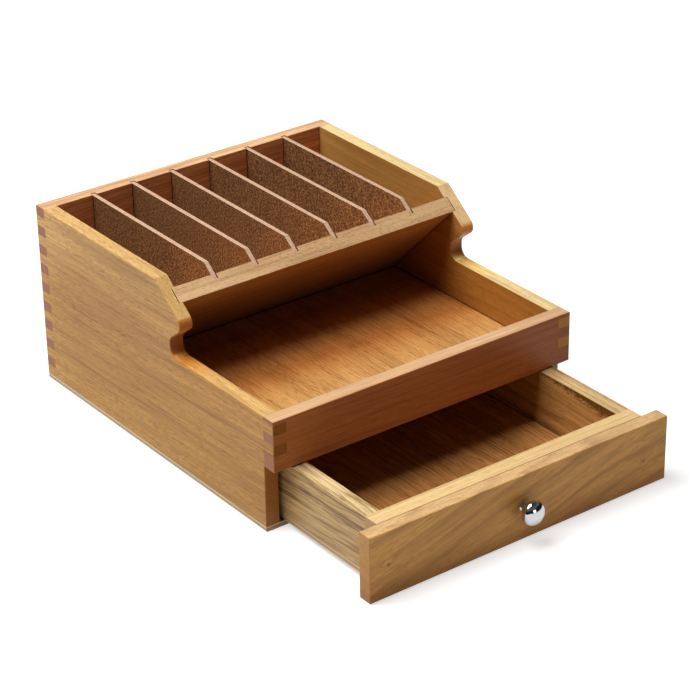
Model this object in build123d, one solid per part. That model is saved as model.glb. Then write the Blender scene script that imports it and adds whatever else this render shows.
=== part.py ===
from build123d import *
import math
import os

# A wooden desk organizer: a finger-jointed case with seven upright compartments at the back,
# an open tray in front of them and one drawer below, standing partly open.
# Millimetres. X runs left to right, Y front to back, Z up.
# The origin is the middle of the base panel's underside.

# Case boards
case_width = 240.0
case_depth = 273.0               # rail face to back face
case_height = 131.6              # underside of the base to the top edges
side_thickness = 10.0
back_thickness = 10.5
rail_thickness = 10.5
rail_height = 35.6
rail_bottom = 47.0               # height of the rail's lower edge
base_thickness = 3.6
eased_edge = 0.4                 # sanded outer edges

# Finger joints, all of one finger height
back_step_count = 18             # steps down each back corner, the top one the back panel's
rail_finger_count = 2            # fingers of a side panel in the rail
rail_finger_cover = 2.4          # rail left above the upper one
finger_gap = 0.1                 # above and below the side panels' fingers

# Front outline of the side panels
slope_angle = 38.0               # degrees below level, from the top edge down to the nose
slope_reach = 171.2              # forward from the back face to the slope's lower end
slope_end_height = 29.2          # that end above the tray's lower edge
nose_overhang = 4.1              # forward from there to the corner that the nose rounds off
nose_drop = 5.3                  # down from there to that corner
nose_radius = 5.8
undercut_angle = 38.0            # degrees, underside of the nose
cove_depth = 10.4                # back from the slope's lower end to the wall of the cove
cove_radius = 7.0
cove_corner_radius = 6.0

# Tray floor, a plywood sheet held in grooves all round
tray_floor_top = 53.3
tray_floor_thickness = 3.6
groove_depth = 4.0
groove_slack = 0.8               # open height above the sheet, the dark line along the side
groove_end_gap = 0.3             # left between the sheet's edges and the groove ends

# Sloping board under the compartments, let into both side panels
board_start = 9.6                # from the top of the slope to the board's upper face
board_angle = 45.0               # degrees below level, running down to the back
board_thickness = 11.6
housing_depth = 2.6
housing_end_gap = 0.5

# Hardboard dividers, dropped into slots in the sloping board and the back panel
divider_count = 6
divider_thickness = 3.0
divider_drop = 0.5               # top edge below the case's top edge
divider_setback = 1.0            # front edge behind the slope of the sides
divider_seat_gap = 0.1           # under, in front of and behind each divider
slot_side_gap = 0.35             # each side of a divider
board_slot_depth = 3.4
back_slot_depth = 3.0

# Drawer
drawer_opening = 95.0            # how far it stands open
drawer_box_length = 248.0
drawer_side_gap = 3.8            # each side of the box
drawer_running_gap = 0.2         # over the base panel
drawer_top_gap = 0.5             # under the rail
drawer_stop_gap = 0.3            # closed front to side panels
drawer_front_thickness = 10.5
drawer_front_end_gap = 0.5       # inside the case's outer faces
drawer_front_foot_gap = 0.5      # above the base panel's underside
drawer_box_front_thickness = 11.5
drawer_side_thickness = 11.0
drawer_back_thickness = 11.0
drawer_bottom_thickness = 3.6

# Knob, a turned mushroom shape with a round-backed, domed head
knob_base_radius = 3.4
knob_base_height = 1.0           # foot that tapers to the neck
knob_neck_radius = 2.8
knob_head_radius = 8.2
knob_rim_radius = 4.2            # rounding of the head's rim
knob_dome_radius = 11.0          # curve of the head's face
knob_length = 14.4
knob_hole_depth = 9.0

# Pan-head screws, driven from inside the drawer
knob_screw_radius = 1.5
knob_screw_head_radius = 3.2
knob_screw_head_height = 2.4
knob_screw_end_gap = 1.0         # left at the bottom of the knob's hole
front_screw_count = 2
front_screw_spacing = 130.0
front_screw_radius = 1.75
front_screw_head_radius = 3.6
front_screw_head_height = 2.4
front_screw_grip = 6.0           # length held in the drawer front
screw_head_bevel = 1.0
fastener_gap = 0.15              # round a screw or nail in its hole

# Brads that hold the two bottoms
nail_width = 1.2                 # square shank
nail_head_length = 2.6
nail_head_height = 0.8
nail_head_sink = 0.2             # head below the surface
nail_length = 15.0               # under the head
base_nails_per_side = 4
base_nail_margin = 26.0          # first and last nail from the ends of the side panel
drawer_nails_per_side = 4
drawer_nail_margin = 22.0

# Places worked out from the sizes
half_width = case_width / 2
inner_half = half_width - side_thickness
side_depth = case_depth - rail_thickness
back_face = side_depth / 2
back_inner = back_face - back_thickness
side_front = -side_depth / 2
rail_front = side_front - rail_thickness
rail_top = rail_bottom + rail_height
finger_height = (case_height - base_thickness) / back_step_count
left_x = (-half_width, -inner_half)
right_x = (inner_half, half_width)
back_y = (back_inner, back_face)
rail_y = (rail_front, side_front)
slope_rad = math.radians(slope_angle)
board_rad = math.radians(board_angle)
board_to_slope = math.sin(slope_rad + board_rad)
slope_end = (back_face - slope_reach, rail_top + slope_end_height)
slope_top_y = slope_end[0] + (case_height - slope_end[1]) / math.tan(slope_rad)
nose_tip = (slope_end[0] - nose_overhang, slope_end[1] - nose_drop)


def block(x_range, y_range, z_range):
    """Rectangular board between two values on each axis."""
    ranges = (x_range, y_range, z_range)
    centre = [(low + high) / 2 for low, high in ranges]
    size = [high - low for low, high in ranges]
    return Pos(*centre) * Box(*size)


def slab(outline, x_range):
    """Board with a front-to-back outline, between two values of X."""
    low, high = x_range
    return extrude(Plane.YZ.offset(low) * outline, amount=high - low)


def even_spread(count, low, high):
    """Values spread evenly from low to high."""
    return [low + (high - low) * i / (count - 1) for i in range(count)]


def steps_down(top, count):
    """Height ranges of finger steps from the top down."""
    return [(top - (i + 1) * finger_height, top - i * finger_height) for i in range(count)]


def on_slope(distance):
    """Point on the sides' sloped edge, at a distance from its top."""
    y = slope_top_y - distance * math.cos(slope_rad)
    z = case_height - distance * math.sin(slope_rad)
    return (y, z)


def down_board(point, distance):
    """Point moved down and back along the sloping board."""
    y, z = point
    return (y + distance * math.cos(board_rad), z - distance * math.sin(board_rad))


def down_to(point, height):
    """Point moved along the sloping board to a height."""
    return down_board(point, (point[1] - height) / math.sin(board_rad))


# Outlines seen from the side
cove_y = slope_end[0] + cove_depth
undercut_drop = (cove_y - nose_tip[0]) * math.tan(math.radians(undercut_angle))
front_edge_points = [
    (cove_y, rail_top),
    (cove_y, nose_tip[1] - undercut_drop),
    nose_tip,
    slope_end,
    (slope_top_y, case_height),
    (back_face, case_height),
]
front_edge_radii = [cove_radius, cove_corner_radius, nose_radius, 0, 0, 0]


def case_outline(lower_points):
    """Closed outline of the case: the given lower points, then the shaped upper edge."""
    radii = [0] * len(lower_points) + front_edge_radii
    return make_face(FilletPolyline(*lower_points, *front_edge_points, radius=radii, close=True))


side_outline = case_outline(
    [(back_face, base_thickness), (side_front, base_thickness), (side_front, rail_top)]
)
whole_outline = case_outline(
    [
        (back_face, 0),
        (side_front, 0),
        (side_front, rail_bottom),
        (rail_front, rail_bottom),
        (rail_front, rail_top),
    ]
)
eased_case = slab(whole_outline, (-half_width, half_width))
cross_edges = eased_case.edges().filter_by(Axis.X)
rail_edges = cross_edges.group_by(Axis.Y)[0]
back_top_edge = cross_edges.group_by(Axis.Z)[-1].sort_by(Axis.Y)[-1]
eased_case = chamfer([*rail_edges, back_top_edge], eased_edge)
eased_case = chamfer(eased_case.faces().sort_by(Axis.X)[0].edges(), eased_edge)
eased_case = chamfer(eased_case.faces().sort_by(Axis.X)[-1].edges(), eased_edge)

# Slots that the case boards share
tray_floor_bottom = tray_floor_top - tray_floor_thickness
tray_slot = block(
    (-inner_half - groove_depth, inner_half + groove_depth),
    (side_front - groove_depth, back_inner + groove_depth),
    (tray_floor_bottom, tray_floor_top + groove_slack),
)


def board_section(start, thickness):
    """Section along the sloping board, cut off by the slope and by the tray floor."""
    upper = on_slope(start)
    lower = on_slope(start + thickness / board_to_slope)
    corners = [upper, lower, down_to(lower, tray_floor_top), down_to(upper, tray_floor_top)]
    return make_face(Polyline(*corners, close=True))


board_outline = board_section(board_start, board_thickness)
housing_half = inner_half + housing_depth
board_housing = slab(board_outline, (-housing_half, housing_half))

# Dividers stand with equal clear widths between them and the side panels
clear_width = (2 * inner_half - divider_count * divider_thickness) / (divider_count + 1)
divider_pitch = clear_width + divider_thickness
divider_places = [
    (i - (divider_count - 1) / 2) * divider_pitch for i in range(divider_count)
]
slot_half = divider_thickness / 2 + slot_side_gap

# Side panels, back panel and rail
back_steps = steps_down(case_height, back_step_count)
back_fingers = back_steps[0::2]
side_back_fingers = back_steps[1::2]
side_front_fingers = steps_down(rail_top - rail_finger_cover, 2 * rail_finger_count)[0::2]


def side_panel(x_range):
    """Shaped side panel with fingers at both ends, grooved for the floor and the board."""
    panel = slab(side_outline, x_range)
    panel += [block(x_range, rail_y, step) for step in side_front_fingers]
    panel -= [block(x_range, back_y, step) for step in back_fingers]
    return (panel - tray_slot - board_housing) & eased_case


def cut_corners(board, y_range, steps):
    """Take the side panels' fingers, with their gaps, out of both ends of a cross board."""
    slots = [(low - finger_gap, high + finger_gap) for low, high in steps]
    return board - [block(x_range, y_range, slot) for x_range in (left_x, right_x) for slot in slots]


side_panel_left = side_panel(left_x)
side_panel_right = side_panel(right_x)

back_panel = block((-half_width, half_width), back_y, (base_thickness, case_height))
back_panel = cut_corners(back_panel, back_y, side_back_fingers) - tray_slot
for x in divider_places:
    slot_x = (x - slot_half, x + slot_half)
    slot_y = (back_inner, back_inner + back_slot_depth)
    back_panel -= block(slot_x, slot_y, (tray_floor_top, case_height))
back_panel = back_panel & eased_case

front_rail = block((-half_width, half_width), rail_y, (rail_bottom, rail_top))
front_rail = (cut_corners(front_rail, rail_y, side_front_fingers) - tray_slot) & eased_case

# Tray floor, resting on the lower faces of its grooves
floor_reach = groove_depth - groove_end_gap
tray_floor = block(
    (-inner_half - floor_reach, inner_half + floor_reach),
    (side_front - floor_reach, back_inner + floor_reach),
    (tray_floor_bottom, tray_floor_top),
)

# Sloping board with a slot for each divider
board_half = housing_half - housing_end_gap
sloping_board = slab(board_outline, (-board_half, board_half))
board_slot = board_section(board_start, board_slot_depth)
sloping_board -= [slab(board_slot, (x - slot_half, x + slot_half)) for x in divider_places]

# Dividers
divider_bottom = tray_floor_top + divider_seat_gap
divider_top = case_height - divider_drop
divider_back = back_inner + back_slot_depth - divider_seat_gap
setback_shift = divider_setback / math.sin(slope_rad)
rise_shift = divider_drop / math.tan(slope_rad)
seat_depth = board_slot_depth - divider_seat_gap
seat_start = on_slope(board_start + seat_depth / board_to_slope)
divider_tip = down_board(seat_start, divider_setback / board_to_slope)
divider_outline = make_face(
    Polyline(
        (divider_back, divider_bottom),
        down_to(divider_tip, divider_bottom),
        divider_tip,
        (slope_top_y + setback_shift - rise_shift, divider_top),
        (divider_back, divider_top),
        close=True,
    )
)
dividers = [
    slab(divider_outline, (x - divider_thickness / 2, x + divider_thickness / 2))
    for x in divider_places
]

# Drawer boards, placed by the back face of the drawer front
drawer_y = side_front - drawer_stop_gap - drawer_opening
box_half = inner_half - drawer_side_gap
box_bottom = base_thickness + drawer_running_gap
wall_bottom = box_bottom + drawer_bottom_thickness
drawer_top = rail_bottom - drawer_top_gap
front_half = half_width - drawer_front_end_gap
front_face = drawer_y - drawer_front_thickness
front_height = (drawer_front_foot_gap, drawer_top)
wall_height = (wall_bottom, drawer_top)
box_front_inner = drawer_y + drawer_box_front_thickness
box_back = drawer_y + drawer_box_length
box_back_inner = box_back - drawer_back_thickness
wall_half = box_half - drawer_side_thickness
box_x = (-box_half, box_half)
box_left_x = (-box_half, -wall_half)
box_right_x = (wall_half, box_half)

drawer_front = block((-front_half, front_half), (front_face, drawer_y), front_height)
drawer_front = chamfer(drawer_front.edges(), eased_edge)
drawer_box_front = block(box_x, (drawer_y, box_front_inner), wall_height)
drawer_back = block(box_x, (box_back_inner, box_back), wall_height)
drawer_sides = [
    block(x_range, (box_front_inner, box_back_inner), wall_height)
    for x_range in (box_left_x, box_right_x)
]
drawer_bottom = block(box_x, (drawer_y, box_back), (box_bottom, wall_bottom))

# Knob in the middle of the drawer front, turned about an axis pointing forward
knob_z = sum(front_height) / 2
knob_plane = Plane(origin=(0, front_face, knob_z), x_dir=(1, 0, 0), z_dir=(0, -1, 0))
rim_centre = knob_head_radius - knob_rim_radius
dome_centre = knob_length - knob_dome_radius
rim_rise = math.sqrt((knob_dome_radius - knob_rim_radius) ** 2 - rim_centre**2)
rim_turn = math.degrees(math.atan2(rim_rise, rim_centre))
rim_reach = dome_centre + rim_rise
under_reach = rim_reach - knob_rim_radius
knob_profile = make_face(
    [
        Polyline(
            (0, knob_length),
            (0, 0),
            (knob_base_radius, 0),
            (knob_neck_radius, knob_base_height),
            (knob_neck_radius, under_reach),
            (rim_centre, under_reach),
        ),
        CenterArc((rim_centre, rim_reach), knob_rim_radius, -90, 90 + rim_turn),
        CenterArc((0, dome_centre), knob_dome_radius, rim_turn, 90 - rim_turn),
    ]
)
knob_turned = revolve(Plane.XZ * knob_profile, Axis.Z)
knob_hole_radius = knob_screw_radius + fastener_gap
knob_hole = Pos(0, 0, knob_hole_depth / 2) * Cylinder(knob_hole_radius, knob_hole_depth)
drawer_knob = knob_plane * (knob_turned - knob_hole)


def pan_head_screw(radius, length, head_radius, head_height):
    """Screw along Z with its point up and its bevelled head below Z = 0."""
    shank = Pos(0, 0, length / 2) * Cylinder(radius, length)
    head = Pos(0, 0, -head_height / 2) * Cylinder(head_radius, head_height)
    return shank + chamfer(head.edges().sort_by(Axis.Z)[0], screw_head_bevel)


# Screws from inside the box front
forward = Rotation(90, 0, 0)
knob_screw_length = (
    drawer_box_front_thickness + drawer_front_thickness + knob_hole_depth - knob_screw_end_gap
)
knob_screw_seat = Pos(0, box_front_inner, knob_z) * forward
knob_screw = knob_screw_seat * pan_head_screw(
    knob_screw_radius, knob_screw_length, knob_screw_head_radius, knob_screw_head_height
)
knob_bore_depth = drawer_box_front_thickness + drawer_front_thickness
knob_bore = knob_screw_seat * Pos(0, 0, knob_bore_depth / 2) * Cylinder(
    knob_hole_radius, knob_bore_depth
)

front_screw_length = drawer_box_front_thickness + front_screw_grip
front_screw_spots = [
    (i - (front_screw_count - 1) / 2) * front_screw_spacing for i in range(front_screw_count)
]
front_screw_seats = [Pos(x, box_front_inner, knob_z) * forward for x in front_screw_spots]
front_screw = pan_head_screw(
    front_screw_radius, front_screw_length, front_screw_head_radius, front_screw_head_height
)
front_bore_depth = front_screw_length + fastener_gap
front_bore = Pos(0, 0, front_bore_depth / 2) * Cylinder(
    front_screw_radius + fastener_gap, front_bore_depth
)
drawer_front_screws = [seat * front_screw for seat in front_screw_seats]
front_bores = [seat * front_bore for seat in front_screw_seats]
drawer_front -= [knob_bore] + front_bores
drawer_box_front -= [knob_bore] + front_bores


def nail(gap):
    """Brad along Z with its point up and its head sunk above Z = 0. A gap all round makes its hole."""
    shank = (-nail_width / 2 - gap, nail_width / 2 + gap)
    head = (-nail_head_length / 2 - gap, nail_head_length / 2 + gap)
    head_bottom = 0 if gap else nail_head_sink
    head_top = nail_head_sink + nail_head_height
    return block(shank, head, (head_bottom, head_top)) + block(
        shank, shank, (head_top, head_top + nail_length + gap)
    )


# Nails up through the base into the side panels
base_nail_places = [
    Pos(side * (half_width - side_thickness / 2), y, 0)
    for side in (-1, 1)
    for y in even_spread(
        base_nails_per_side, side_front + base_nail_margin, back_face - base_nail_margin
    )
]
base_nails = [place * nail(0) for place in base_nail_places]
base_nail_holes = [place * nail(fastener_gap) for place in base_nail_places]
base_panel = block((-half_width, half_width), (side_front, back_face), (0, base_thickness))
base_panel = (base_panel & eased_case) - base_nail_holes
side_panel_left -= base_nail_holes[:base_nails_per_side]
side_panel_right -= base_nail_holes[base_nails_per_side:]

# Nails up through the drawer bottom into the drawer sides
drawer_nail_places = [
    Pos(side * (box_half - drawer_side_thickness / 2), y, box_bottom)
    for side in (-1, 1)
    for y in even_spread(
        drawer_nails_per_side,
        box_front_inner + drawer_nail_margin,
        box_back_inner - drawer_nail_margin,
    )
]
drawer_bottom_nails = [place * nail(0) for place in drawer_nail_places]
drawer_nail_holes = [place * nail(fastener_gap) for place in drawer_nail_places]
drawer_bottom -= drawer_nail_holes
drawer_side_left = drawer_sides[0] - drawer_nail_holes[:drawer_nails_per_side]
drawer_side_right = drawer_sides[1] - drawer_nail_holes[drawer_nails_per_side:]

pieces = {
    "side_panel_left": side_panel_left,
    "side_panel_right": side_panel_right,
    "back_panel": back_panel,
    "front_rail": front_rail,
    "tray_floor": tray_floor,
    "sloping_board": sloping_board,
    "base_panel": base_panel,
    "base_nails": Compound(base_nails),
    "drawer_front": drawer_front,
    "drawer_box_front": drawer_box_front,
    "drawer_side_left": drawer_side_left,
    "drawer_side_right": drawer_side_right,
    "drawer_back": drawer_back,
    "drawer_bottom": drawer_bottom,
    "drawer_bottom_nails": Compound(drawer_bottom_nails),
    "drawer_front_screws": Compound(drawer_front_screws),
    "drawer_knob": drawer_knob,
    "knob_screw": knob_screw,
}
for number, divider in enumerate(dividers, start=1):
    pieces[f"divider_{number}"] = divider

os.makedirs("parts", exist_ok=True)
for name, piece in pieces.items():
    export_step(piece, f"parts/{name}.step")
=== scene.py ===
import bpy
import math
from mathutils import Matrix, Vector

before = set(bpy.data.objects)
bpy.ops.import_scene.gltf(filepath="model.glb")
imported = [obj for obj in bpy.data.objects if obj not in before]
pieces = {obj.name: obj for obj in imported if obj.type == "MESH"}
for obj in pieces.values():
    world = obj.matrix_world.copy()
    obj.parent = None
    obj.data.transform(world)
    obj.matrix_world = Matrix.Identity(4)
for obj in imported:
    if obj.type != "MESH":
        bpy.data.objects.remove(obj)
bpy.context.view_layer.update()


# Side panels: two golden boards of solid wood, grain running front to back, planed and varnished.
# Each is sawn to the sloped, nosed and coved outline and finger-jointed to the back and the rail,
# so the ends of those boards show as darker squares at its corners.

def colour(red, green, blue):
    """A finish read off a colour chart as 0-255 values, as a linear colour."""
    parts = [value / 255 for value in (red, green, blue)]
    return (*[p / 12.92 if p <= 0.04045 else ((p + 0.055) / 1.055) ** 2.4 for p in parts], 1.0)


def fresh(name):
    """A new material, its tree of shader nodes and its main shader."""
    material = bpy.data.materials.new(name)
    material.use_nodes = True
    return material, material.node_tree, material.node_tree.nodes["Principled BSDF"]


def put(tree, kind, feeds=None, out=0, **settings):
    """Adds one shader node, feeds its sockets with values or other nodes, and gives one output."""
    node = tree.nodes.new("ShaderNode" + kind)
    for name, value in settings.items():
        setattr(node, name, value)
    for socket, value in (feeds or {}).items():
        if isinstance(value, bpy.types.NodeSocket):
            tree.links.new(value, node.inputs[socket])
        else:
            node.inputs[socket].default_value = value
    return node.outputs[out]


def reckon(tree, operation, first, second=0.0):
    """One sum on two values."""
    return put(tree, "Math", {0: first, 1: second}, operation=operation)


def mingle(tree, share, first, second, way="MIX"):
    """Two colours, the second over the first by its share."""
    feeds = {0: share, 6: first, 7: second}
    return put(tree, "Mix", feeds, out=2, data_type="RGBA", blend_type=way)


def steps(tree, value, *stops):
    """A run of colours or greys over a value from 0 to 1, each stop a place and its shade."""
    node = tree.nodes.new("ShaderNodeValToRGB")
    marks = node.color_ramp.elements
    while len(marks) < len(stops):
        marks.new(0.5)
    for mark, (place, shade) in zip(marks, stops):
        mark.position = place
        mark.color = shade if isinstance(shade, tuple) else (shade, shade, shade, 1.0)
    tree.links.new(value, node.inputs[0])
    return node.outputs[0]


def spot(tree, axis=None):
    """A point of the organizer in metres, or one of its values."""
    place = put(tree, "TexCoord", out="Object")
    return put(tree, "SeparateXYZ", {0: place}, out=axis) if axis else place


def measured(tree, **moved):
    """A point of the organizer in millimetres, turned and moved if told to."""
    return put(tree, "Mapping", {"Vector": spot(tree), "Scale": (1000, 1000, 1000), **moved})


def speckle(tree, place, spread, detail=3.0, rough=0.55, out=0):
    """Noise over a place in millimetres, with its own count per millimetre along each way."""
    place = put(tree, "Mapping", {"Vector": place, "Scale": spread})
    feeds = {"Vector": place, "Scale": 1.0, "Detail": detail, "Roughness": rough}
    return put(tree, "TexNoise", feeds, out=out)


def toward(tree, way):
    """How squarely a face looks one way, from 1 down to -1 for the opposite face."""
    normal = put(tree, "NewGeometry", out="Normal")
    return put(tree, "VectorMath", {0: normal, 1: way}, out="Value", operation="DOT_PRODUCT")


def across(tree, way):
    """1 on the two faces that look along one way, 0 on the others."""
    return steps(tree, reckon(tree, "ABSOLUTE", toward(tree, way)), (0.5, 0.0), (0.75, 1.0))


def painted_nook_shade(tree, tone, nook_shade=1.0):
    """Paints shade into a colour close to where two boards meet, in the corners and gaps between
    them.
    """
    reach = 0.0014
    open_share = put(tree, "AmbientOcclusion", {"Distance": reach}, out="AO", samples=6)
    return mingle(tree, nook_shade, tone, steps(tree, open_share, (0.3, 0.2), (0.9, 1.0)), "MULTIPLY")


def shaded(tree, tone, axis, *stops, share=1.0):
    """Changes a colour along one axis, each stop a place in metres and the tint there."""
    low, high = stops[0][0], stops[-1][0]
    run = put(tree, "MapRange", {"Value": spot(tree, axis), "From Min": low, "From Max": high})
    tints = [((place - low) / (high - low), (*tint, 1.0)) for place, tint in stops]
    return mingle(tree, share, tone, steps(tree, run, *tints), "MULTIPLY")


rightward = (1.0, 0.0, 0.0)
leftward = (-1.0, 0.0, 0.0)
backward = (0.0, 1.0, 0.0)
up = (0.0, 0.0, 1.0)


def wood(name, way, log, turn, ring, pale, dark, end, sway=3.0, rings=1.0, streak=0.3, fibre=0.4,
         pore=0.3, pore_length=6.0, pore_width=0.5, mottle=0.3, shine=0.06, nook_shade=1.0, faces=(),
         knots=()):
    """Varnished wood sawn from a log whose heart lies along the board's long axis, a little askew.

    Growth rings, streaks, fibres, pores and slow blotches colour it. Its sawn ends have their own
    colour. Some faces get painted light and shade of their own, edges a painted highlight with
    their wear, and corners painted shade. The log's place, the rings' width, their sway and the
    pores are in millimetres, the log's turn in degrees, knots in metres, and the strengths are
    shares.
    """
    material, tree, shader = fresh(name)
    along = rightward if way == "X" else backward
    spin = [math.radians(angle) for angle in turn]
    spin[2] += 0.0 if way == "X" else math.radians(-90)

    # The log's heart wanders, and each ring wavers on its own. The fibres wander less.
    board = measured(tree, Location=log, Rotation=spin)
    grown = board
    for spread, reach in (((0.009, 0.03, 0.03), sway), ((0.004, 0.1, 0.1), ring * 1.5)):
        drift = speckle(tree, board, spread, out="Color")
        drift = put(tree, "VectorMath", {0: drift, 1: (0.5, 0.5, 0.5)}, operation="SUBTRACT")
        drift = put(tree, "VectorMath", {0: drift, "Scale": reach}, operation="SCALE")
        grown = put(tree, "VectorMath", {0: grown, 1: drift}, operation="ADD")
    drift = speckle(tree, board, (0.006, 0.02, 0.02), detail=1.0, out="Color")
    fibre_sway = min(sway, 8.0)
    drift = put(tree, "VectorMath", {0: drift, "Scale": fibre_sway}, operation="SCALE")
    fibres = put(tree, "VectorMath", {0: board, 1: drift}, operation="ADD")

    # A pin knot pushes the rings round it and has a dark heart.
    scars = []
    for knot_x, knot_z, size in knots:
        swirl_reach = size * 5
        swirl_push = 5.0
        flat = put(tree, "VectorMath", {0: spot(tree), 1: (1.0, 0.0, 1.0)}, operation="MULTIPLY")
        centre = (knot_x, 0.0, knot_z)
        gap = put(tree, "VectorMath", {0: flat, 1: centre}, out="Value", operation="DISTANCE")
        feeds = {"Value": gap, "From Max": swirl_reach, "To Min": swirl_push, "To Max": 0.0}
        swirl = put(tree, "MapRange", feeds, interpolation_type="SMOOTHERSTEP")
        swirl = put(tree, "CombineXYZ", {"Z": swirl})
        grown = put(tree, "VectorMath", {0: grown, 1: swirl}, operation="ADD")
        feeds = {"Value": gap, "From Max": size, "To Min": 0.8, "To Max": 0.0}
        scars.append(put(tree, "MapRange", feeds, interpolation_type="SMOOTHSTEP"))

    # Each ring darkens to its late wood, more in some years than in others.
    ring_scale = math.pi / 10 / ring
    feeds = {"Vector": grown, "Scale": ring_scale, "Distortion": 0.0}
    growth = put(tree, "TexWave", feeds, out="Fac", wave_type="RINGS", rings_direction="X",
                 wave_profile="SAW")
    late = steps(tree, growth, (0.0, 0.35), (0.12, 0.0), (0.5, 0.12), (0.9, 1.0), (1.0, 0.35))
    years = steps(tree, speckle(tree, grown, (0.003, 0.11, 0.11)), (0.3, 0.25), (0.7, 1.0))
    late = reckon(tree, "MULTIPLY", reckon(tree, "MULTIPLY", late, years), rings)
    streaks = speckle(tree, grown, (0.005, 0.16, 0.16), detail=2.0)
    strands = speckle(tree, fibres, (0.015, 0.9, 0.9), detail=3.0, rough=0.6)
    ducts = speckle(tree, fibres, (1 / pore_length, 1 / pore_width, 1 / pore_width), detail=2.0)
    crowd = reckon(tree, "MULTIPLY", reckon(tree, "SUBTRACT", streaks, 0.5), 0.4)
    ducts = reckon(tree, "ADD", ducts, crowd)
    cloud = speckle(tree, board, (0.006, 0.022, 0.022), detail=2.0)

    deep = (0.4, 0.3, 0.2, 1.0)
    tone = mingle(tree, late, pale, dark)
    for share, grain, stops in (
        (fibre, strands, ((0.3, deep), (0.5, 0.85), (0.68, 1.0))),
        (streak, streaks, ((0.3, deep), (0.6, 1.0))),
        (pore, ducts, ((0.52, 1.0), (0.68, deep))),
        (mottle, cloud, ((0.35, deep), (0.65, 1.0))),
    ):
        tone = mingle(tree, share, tone, steps(tree, grain, *stops), "MULTIPLY")
    for scar in scars:
        tone = mingle(tree, scar, tone, colour(84, 46, 20))

    # Sawn ends show rings and pores as dots; some faces get painted light and shade of their own.
    dots = speckle(tree, board, (0.4, 2.2, 2.2), detail=2.0)
    cut = mingle(tree, 0.6, end, steps(tree, late, (0.0, 1.0), (1.0, 0.5)), "MULTIPLY")
    cut = mingle(tree, 0.5, cut, steps(tree, dots, (0.4, 0.45), (0.6, 1.0)), "MULTIPLY")
    tone = mingle(tree, across(tree, along), tone, cut)
    for way_out, face in faces:
        share = steps(tree, toward(tree, way_out), (0.88, 0.0), (0.97, 1.0))
        tint = [own / usual for own, usual in zip(face, pale)]
        tone = mingle(tree, share, tone, tint, "MULTIPLY")

    # Edges are rubbed round and pale: worn, and given a painted highlight along the arris.
    edge_round = 0.0004
    soft = put(tree, "Bevel", {"Radius": edge_round}, samples=4)
    crisp = put(tree, "NewGeometry", out="Normal")
    wear_and_highlight = put(tree, "VectorMath", {0: soft, 1: crisp}, out="Value", operation="DOT_PRODUCT")
    wear_and_highlight = steps(tree, wear_and_highlight, (0.7, 0.45), (0.96, 0.0))
    tone = painted_nook_shade(tree, mingle(tree, wear_and_highlight, tone, pale), nook_shade)
    tree.links.new(tone, shader.inputs["Base Color"])

    # Pores lie open under the varnish, which is thin and satin.
    grain_depth = 0.0003
    relief = reckon(tree, "SUBTRACT", strands, reckon(tree, "MULTIPLY", ducts, 0.6))
    feeds = {"Strength": 0.18, "Distance": grain_depth, "Height": relief, "Normal": soft}
    tree.links.new(put(tree, "Bump", feeds), shader.inputs["Normal"])
    feeds = {"Value": strands, "From Min": 0.3, "From Max": 0.7, "To Min": 0.5, "To Max": 0.36}
    tree.links.new(put(tree, "MapRange", feeds), shader.inputs["Roughness"])
    shader.inputs["Specular IOR Level"].default_value = 0.2
    shader.inputs["Coat Weight"].default_value = shine
    shader.inputs["Coat Roughness"].default_value = 0.22
    return material, tree, tone, shader


def finish(material, *names):
    """Gives pieces one material in place of the plain one they come with."""
    for name in names:
        pieces[name].data.materials.clear()
        pieces[name].data.materials.append(material)


side_pale = colour(227, 173, 97)
side_dark = colour(168, 110, 54)
side_inner_shade = colour(196, 138, 69)
side_slope = (0.0, -0.616, 0.788)
untinted = (1.0, 1.0, 1.0)
# Each board's place and turn in its log, how strong its figure is, and the way its inner face
# looks, then the colours of its sawn ends, painted lit top and painted lit slope, and the tints of
# the finger ends in the rail, of the painted shade in the cove and on the ledge under the cove.
for name, log, turn, figure, inward, end, lit_top, lit_slope, fingers, cove_shade, ledge_shade in (
    ("side_panel_left", (40, 95, -210), (2.2, 0, 0.8), 0.5, rightward,
     colour(170, 104, 39), colour(243, 199, 124), colour(243, 213, 150),
     (0.8, 0.7, 0.45), (0.83, 0.73, 0.7), (0.96, 0.6, 0.3)),
    ("side_panel_right", (310, -80, 160), (-1.8, 0, 1.0), 0.32, leftward,
     colour(200, 134, 60), colour(255, 226, 160), colour(244, 219, 174),
     (1.15, 1.12, 0.8), (0.48, 0.36, 0.3), (1.08, 0.9, 0.5)),
):
    # The top and slope are painted paler as lit faces, the inner face darker as shade.
    board, tree, tone, shader = wood(
        f"{name}_wood", "Y", log, turn, 8.0, side_pale, side_dark, end, sway=4.0,
        rings=0.3, streak=figure, fibre=figure * 1.1, pore=figure * 1.2, mottle=figure * 0.5,
        faces=((up, lit_top), (side_slope, lit_slope), (inward, side_inner_shade)))
    flat = across(tree, rightward)
    tone = shaded(tree, tone, "Z", (0.02, (0.89, 0.82, 0.49)), (0.08, (0.92, 0.84, 0.64)),
                  (0.115, (1.03, 1.06, 1.12)), share=flat)
    tone = shaded(tree, tone, "Y", (0.08, untinted), (0.13, (1.19, 1.28, 1.45)), share=flat)
    # On the front ends the cove gets painted shade and the nose above it a painted highlight.
    tone = shaded(tree, tone, "Z", (0.045, (1.1, 1.16, 1.3)), (0.058, fingers), (0.08, fingers),
                  (0.088, cove_shade), (0.093, (0.86, 0.78, 0.94)), (0.104, (1.4, 1.3, 1.15)),
                  share=across(tree, backward))
    # The ledge under the cove gets painted shade, deepest next to the cove.
    low = put(tree, "MapRange", {"Value": spot(tree, "Z"), "From Min": 0.1, "From Max": 0.095})
    low = reckon(tree, "MULTIPLY", low, steps(tree, toward(tree, up), (0.3, 0.0), (0.7, 1.0)))
    tone = shaded(tree, tone, "Y", (-0.072, untinted), (-0.042, ledge_shade), share=low)
    tree.links.new(tone, shader.inputs["Base Color"])
    finish(board, name)


# Back panel: a red-brown board, grain running across, its fingers let into both sides.
# Upright grooves inside it hold the back edges of the dividers.

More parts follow.
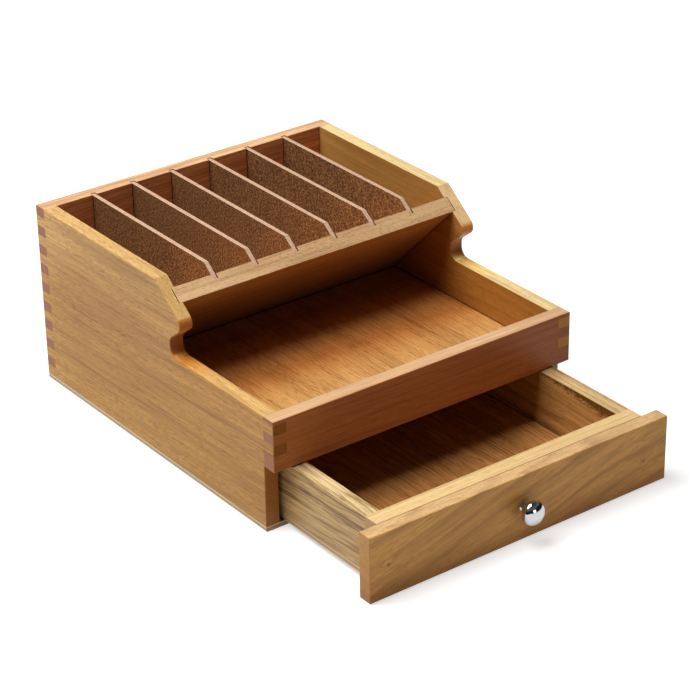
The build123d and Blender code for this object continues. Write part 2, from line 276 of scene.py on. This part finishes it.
red_pale = colour(200, 116, 62)
red_dark = colour(140, 66, 30)
red_end = colour(176, 111, 74)
forward = (0.0, -1.0, 0.0)
# Its top and its inner face are painted paler, as light falling on them.
back_wood, *_ = wood(
    "back_wood", "X", (15, -95, -100), (0, 1.2, 0.6), 5.0, red_pale, red_dark, red_end, sway=5.0,
    rings=0.7, streak=0.4, fibre=0.7, mottle=0.2,
    faces=((up, colour(254, 202, 148)), (forward, colour(244, 152, 92))))
finish(back_wood, "back_panel")


# Front rail: a red-brown board across the front of the tray, planed smooth, jointed over both
# sides with the same fingers and varnished.

rail_pale = colour(192, 115, 58)
# Its top is painted pale, as the sheen of the light above.
rail_wood, *_ = wood(
    "rail_wood", "X", (120, 180, -150), (0, -0.8, 1.0), 6.0, rail_pale, red_dark, red_end,
    sway=6.0, rings=0.3, fibre=0.4, pore=0.3, mottle=0.25, faces=((up, colour(238, 193, 144)),))
finish(rail_wood, "front_rail")


# Tray floor: a sheet of stained plywood held in grooves in the sides and the rail. Its face veneer
# is peeled from the log in two widths, with short dark flecks, and has painted light at the front
# and painted shade towards the back.

veneer_pale = colour(234, 166, 92)
veneer_dark = colour(158, 92, 42)
tray_sheet, tree, tone, shader = wood(
    "tray_plywood", "Y", (60, 10, -400), (0.7, 0, 0), 16.0, veneer_pale, veneer_dark, veneer_dark,
    sway=20.0, rings=0.35, streak=0.25, fibre=0.6, pore=0.7, pore_length=7.0, mottle=0.35,
    shine=0.05)
# Painted light at the front, painted shade under the slope towards the back.
tone = shaded(tree, tone, "Y", (-0.09, (1.1, 1.34, 1.66)), (-0.07, (1.05, 1.14, 1.28)),
              (-0.045, (0.92, 0.74, 0.63)), (-0.015, (1.2, 1.12, 1.08)), (0.012, (0.6, 0.5, 0.44)),
              (0.03, (0.9, 0.8, 0.72)))
seam_x = 0.0666
seam_core, seam_edge = 0.0002, 0.0007
seam = reckon(tree, "ABSOLUTE", reckon(tree, "SUBTRACT", spot(tree, "X"), seam_x))
feeds = {"Value": seam, "From Min": seam_core, "From Max": seam_edge, "To Min": 0.6, "To Max": 1.0}
tone = mingle(tree, 1.0, tone, put(tree, "MapRange", feeds), "MULTIPLY")
tree.links.new(tone, shader.inputs["Base Color"])
finish(tray_sheet, "tray_floor")


# Sloping board: a tan board set between the sides at a slant, its planed front edge flush with
# their slope and sawn with six slots for the dividers.

board_pale = colour(242, 201, 151)
board_dark = colour(186, 126, 80)
under = (0.0, -0.707, -0.707)
over = (0.0, 0.707, 0.707)
# Its underside and upper face are painted darker, as shade.
board_wood, tree, tone, shader = wood(
    "board_wood", "X", (35, -140, 60), (0, 1.0, -0.8), 5.5, board_pale, board_dark, red_end,
    sway=5.0, rings=0.35, fibre=0.55, pore=0.5, pore_length=2.5, pore_width=0.6,
    faces=((under, colour(172, 118, 60)), (over, colour(204, 148, 94))))
# The painted shade on the underside lightens towards its upper edge.
underside_shade_mask = steps(tree, toward(tree, under), (0.88, 0.0), (0.97, 1.0))
tone = shaded(tree, tone, "Z", (0.075, (1.04, 0.95, 0.95)), (0.095, (1.1, 1.0, 0.86)),
              (0.112, (1.42, 1.38, 1.25)), share=underside_shade_mask)
tree.links.new(tone, shader.inputs["Base Color"])
finish(board_wood, "sloping_board")


# Dividers: six sheets of thin pressed hardboard, brown with darker and paler wood fibres showing,
# dropped into the slots and left unvarnished. Their sawn edges are paler, from lighter fibres and
# from painted light.

divider_count = 6
hardboard, tree, shader = fresh("hardboard")
sheet = measured(tree)
chips = speckle(tree, sheet, (0.75, 0.75, 0.75), detail=3.0, rough=0.75)
flecks = speckle(tree, sheet, (0.45, 0.45, 0.45), detail=1.0)
clumps = speckle(tree, sheet, (0.06, 0.06, 0.06), detail=2.0)
tone = steps(tree, chips, (0.36, colour(62, 33, 13)), (0.5, colour(130, 78, 37)),
             (0.64, colour(192, 132, 76)))
tone = mingle(tree, 0.5, tone, steps(tree, flecks, (0.66, 1.0), (0.73, 0.2)), "MULTIPLY")
tone = mingle(tree, 0.3, tone, steps(tree, clumps, (0.35, 0.6), (0.65, 1.0)), "MULTIPLY")
# Painted light towards the front of each divider, painted shade towards the back.
tone = shaded(tree, tone, "Y", (0.0, (1.3, 1.24, 1.15)), (0.03, (1.09, 1.05, 0.97)),
              (0.1, (0.85, 0.85, 0.77)))
# The edges are paler: lighter fibres, and painted light.
edge = reckon(tree, "SUBTRACT", 1.0, across(tree, rightward))
sawn = steps(tree, chips, (0.38, 0.45), (0.6, 1.0))
sawn = mingle(tree, 0.6, colour(214, 174, 141), sawn, "MULTIPLY")
tone = painted_nook_shade(tree, mingle(tree, edge, tone, sawn))
tree.links.new(tone, shader.inputs["Base Color"])
chip_depth = 0.0003
feeds = {"Strength": 0.3, "Distance": chip_depth, "Height": chips}
tree.links.new(put(tree, "Bump", feeds), shader.inputs["Normal"])
shader.inputs["Roughness"].default_value = 0.75
finish(hardboard, *[f"divider_{number}" for number in range(1, divider_count + 1)])


# Base panel: a thin sheet of pale three-layer plywood under the case, nailed up into the sides
# with small flat-headed brads.

def plies(tree, tone, foot, outer, middle):
    """Shows the three layers on the edges of a plywood sheet, the middle one end grain."""
    thickness = 0.0036
    feeds = {"Value": spot(tree, "Z"), "From Min": foot, "From Max": foot + thickness}
    level = put(tree, "MapRange", feeds)
    layers = steps(tree, level, (0.3, outer), (0.36, middle), (0.64, middle), (0.7, outer))
    return mingle(tree, across(tree, up), layers, tone)


def metal(name, tint, rough, scratch):
    """Bare or plated metal, a little uneven in its polish."""
    material, tree, shader = fresh(name)
    rub = speckle(tree, measured(tree), (0.7, 0.7, 2.5), detail=4.0)
    tone = mingle(tree, 0.12, tint, steps(tree, rub, (0.3, 0.6), (0.7, 1.0)), "MULTIPLY")
    tree.links.new(tone, shader.inputs["Base Color"])
    feeds = {"Value": rub, "From Min": 0.3, "From Max": 0.7,
             "To Min": rough, "To Max": rough + scratch}
    tree.links.new(put(tree, "MapRange", feeds), shader.inputs["Roughness"])
    shader.inputs["Metallic"].default_value = 1.0
    return material


base_pale = colour(226, 204, 172)
base_dark = colour(186, 156, 118)
base_foot = 0.0
base_sheet, tree, tone, shader = wood(
    "base_plywood", "Y", (0, 30, -300), (0.5, 0, 0), 14.0, base_pale, base_dark, base_pale,
    sway=14.0, rings=0.5, pore=0.4, shine=0.0)
tone = plies(tree, tone, base_foot, colour(222, 200, 166), colour(176, 148, 112))
tree.links.new(painted_nook_shade(tree, tone), shader.inputs["Base Color"])
finish(base_sheet, "base_panel")
brad_steel = metal("brad_steel", colour(176, 176, 178), 0.32, 0.15)
finish(brad_steel, "base_nails")


# Drawer box: two coarse-grained sides with a box front and a back across their ends, and a
# plywood bottom nailed up underneath. The wood is paler than the case and more streaked, and the
# right side has a dark torn strip under its top edge, left from the outside of the log.

box_pale = colour(248, 211, 149)
box_left_pale = colour(230, 192, 132)
box_dark = colour(138, 96, 54)
box_end = colour(205, 165, 108)
box_inner_shade = colour(224, 170, 99)
# The left side's top is painted paler as lit, and both sides' inner faces darker as shade.
box_left, tree, tone, shader = wood(
    "drawer_left_wood", "Y", (20, 60, -160), (1.6, 0, 0.5), 4.5, box_left_pale, box_dark, box_end,
    sway=7.0, rings=0.5, streak=0.2, fibre=0.6, pore=0.8, pore_length=20.0, mottle=0.1,
    faces=((up, colour(255, 226, 168)), (rightward, box_inner_shade)))
slant = (0.05, 0.0, 0.03)
grooves = speckle(tree, measured(tree, Rotation=slant), (0.4, 0.011, 0.4), detail=3.0, rough=0.6)
grooves = steps(tree, grooves, (0.53, 1.0), (0.63, (0.42, 0.34, 0.24, 1.0)))
tone = mingle(tree, 0.7, tone, grooves, "MULTIPLY")
tree.links.new(tone, shader.inputs["Base Color"])
finish(box_left, "drawer_side_left")

box_right, tree, tone, shader = wood(
    "drawer_right_wood", "Y", (200, -60, -90), (-1.2, 0, 0.5), 4.5, box_pale, box_dark, box_end,
    sway=7.0, rings=0.6, streak=0.4, fibre=0.6, pore=0.5, faces=((leftward, box_inner_shade),))
strip_back, strip_front, strip_gain = -0.142, -0.214, 0.0075
strip_foot, strip_top = 0.04, 0.0495
ragged = speckle(tree, measured(tree), (0.7, 0.45, 0.9), detail=5.0, rough=0.8)
feeds = {"Value": spot(tree, "Y"), "From Min": strip_back, "From Max": strip_front,
         "To Max": strip_gain}
level = reckon(tree, "ADD", spot(tree, "Z"), put(tree, "MapRange", feeds))
feeds = {"Value": level, "From Min": strip_foot, "From Max": strip_top,
         "To Min": -0.22, "To Max": 0.13}
torn = reckon(tree, "ADD", put(tree, "MapRange", feeds), ragged)
torn = steps(tree, torn, (0.46, 0.0), (0.56, 0.9))
inside = steps(tree, toward(tree, leftward), (0.6, 0.0), (0.85, 1.0))
tone = mingle(tree, reckon(tree, "MULTIPLY", torn, inside), tone, colour(92, 52, 22))
tree.links.new(tone, shader.inputs["Base Color"])
finish(box_right, "drawer_side_right")

box_cross, *_ = wood(
    "drawer_cross_wood", "X", (80, 150, -90), (0, 1.0, 0.5), 5.0, box_pale, box_dark, box_end,
    sway=6.0, rings=0.25, streak=0.15, fibre=0.25, pore=0.3, mottle=0.1, nook_shade=0.3)
finish(box_cross, "drawer_box_front", "drawer_back")

bottom_pale = colour(228, 163, 94)
bottom_dark = colour(146, 88, 42)
bottom_foot = 0.0038
drawer_sheet, tree, tone, shader = wood(
    "drawer_plywood", "Y", (90, 20, -420), (0.5, 0, 0), 13.0, bottom_pale, bottom_dark, box_end,
    sway=16.0, rings=0.4, streak=0.4, fibre=0.95, pore=0.7, pore_length=9.0)
tone = plies(tree, tone, bottom_foot, colour(214, 184, 142), colour(170, 138, 100))
tree.links.new(painted_nook_shade(tree, tone), shader.inputs["Base Color"])
finish(drawer_sheet, "drawer_bottom")
finish(brad_steel, "drawer_bottom_nails")


# Drawer front: a wide golden board with slanting growth bands and two pin knots, deeper in colour
# along its lower edge, screwed to the box front from inside the drawer.

front_pale = colour(250, 191, 107)
front_dark = colour(180, 116, 56)
front_end = colour(209, 155, 84)
pin_knots = ((-0.1056, 0.0234, 0.0018), (0.0998, 0.0198, 0.0016))
# Its top is painted paler, as lit from above.
front_wood, tree, tone, shader = wood(
    "drawer_front_wood", "X", (60, 240, 40), (0, 14.0, 3.0), 12.0, front_pale, front_dark,
    front_end, sway=18.0, rings=0.62, streak=0.3, fibre=0.38, pore=0.33, nook_shade=0.3,
    faces=((up, colour(245, 208, 152)),), knots=pin_knots)
tone = shaded(tree, tone, "Z", (0.003, (0.76, 0.61, 0.43)), (0.016, (0.95, 0.86, 0.78)),
              (0.042, (1.05, 1.0, 0.95)))
tree.links.new(tone, shader.inputs["Base Color"])
finish(front_wood, "drawer_front")
screw_steel = metal("screw_steel", colour(190, 188, 184), 0.25, 0.15)
finish(screw_steel, "drawer_front_screws", "knob_screw")


# Knob: a metal knob with a rounded head on a narrow neck, turned, polished and chrome-plated. A
# screw from inside the drawer pulls it tight against the drawer front.

chrome = metal("knob_chrome", colour(194, 196, 200), 0.07, 0.04)
finish(chrome, "drawer_knob")


# Room: a plain pale floor, one wide soft lamp overhead and to the left, a small weak one in front,
# faint light from all round, and the camera to the front left, looking down at the organizer.

scene = bpy.context.scene
white = (1.0, 1.0, 1.0, 1.0)
floor_half = 6.0
floor_mesh = bpy.data.meshes.new("floor")
corners = [(x * floor_half, y * floor_half, 0.0) for x, y in ((-1, -1), (1, -1), (1, 1), (-1, 1))]
floor_mesh.from_pydata(corners, [], [(0, 1, 2, 3)])
floor = bpy.data.objects.new("floor", floor_mesh)
scene.collection.objects.link(floor)
paper, tree, shader = fresh("floor_paper")
shader.inputs["Base Color"].default_value = (0.62, 0.62, 0.62, 1.0)
shader.inputs["Roughness"].default_value = 0.9
shader.inputs["Emission Color"].default_value = white
look = put(tree, "LightPath", out="Is Camera Ray")
mirror = put(tree, "LightPath", out="Is Glossy Ray")
near, far = 0.5, 1.5
distance = put(tree, "VectorMath", {0: spot(tree)}, out="Value", operation="LENGTH")
feeds = {"Value": distance, "From Min": near, "From Max": far, "To Min": 0.6, "To Max": 1.0}
seen = reckon(tree, "MAXIMUM", look, mirror)
seen = reckon(tree, "MULTIPLY", seen, put(tree, "MapRange", feeds))
tree.links.new(seen, shader.inputs["Emission Strength"])
floor_mesh.materials.append(paper)

room = bpy.data.worlds.new("room")
scene.world = room
room.use_nodes = True
tree = room.node_tree
shader = tree.nodes["Background"]
look = put(tree, "LightPath", out="Is Camera Ray")
mirror = put(tree, "LightPath", out="Is Glossy Ray")
through = put(tree, "LightPath", out="Is Transmission Ray")
bearing = put(tree, "TexCoord", out="Generated")
low_behind = (0.0, 1.0, -0.6)
behind = put(tree, "VectorMath", {0: bearing, 1: low_behind}, out="Value",
             operation="DOT_PRODUCT")
backdrop = steps(tree, behind, (0.0, 0.0), (0.5, 1.0))
height = put(tree, "SeparateXYZ", {0: bearing}, out="Z")
dusk = steps(tree, height, (0.1, 0.01), (0.35, 0.02), (0.6, 0.2), (0.85, 0.06))
backdrop = mingle(tree, 1.0, backdrop, dusk, "LIGHTEN")
faint = (0.04, 0.04, 0.04, 1.0)
tone = mingle(tree, reckon(tree, "MAXIMUM", mirror, through), faint, backdrop)
tree.links.new(mingle(tree, look, tone, white), shader.inputs["Color"])

aim = Vector((0.0, -0.05, 0.05))
for name, size, power, stand in (
    ("softbox", 1.0, 28.0, (-0.5, 0.15, 1.35)),
    ("fill_lamp", 0.4, 1.9, (0.15, -1.65, 0.28)),
):
    lamp_data = bpy.data.lights.new(name, "AREA")
    lamp_data.size = size
    lamp_data.energy = power
    lamp = bpy.data.objects.new(name, lamp_data)
    scene.collection.objects.link(lamp)
    lamp.location = stand
    lamp.rotation_euler = (aim - lamp.location).to_track_quat("-Z", "Y").to_euler()

camera_stand = (-0.8799, -1.2440, 0.8319)
heading, dip, roll = math.radians(-36.62), math.radians(27.617), math.radians(-0.9075)
camera_data = bpy.data.cameras.new("camera")
camera_data.sensor_width = 36.0
camera_data.lens = 130.0
camera = bpy.data.objects.new("camera", camera_data)
scene.collection.objects.link(camera)
camera.matrix_world = (Matrix.Translation(camera_stand)
                       @ Matrix.Rotation(heading, 4, "Z")
                       @ Matrix.Rotation(math.radians(90) - dip, 4, "X")
                       @ Matrix.Rotation(roll, 4, "Z"))
scene.camera = camera
scene.view_settings.view_transform = "Standard"
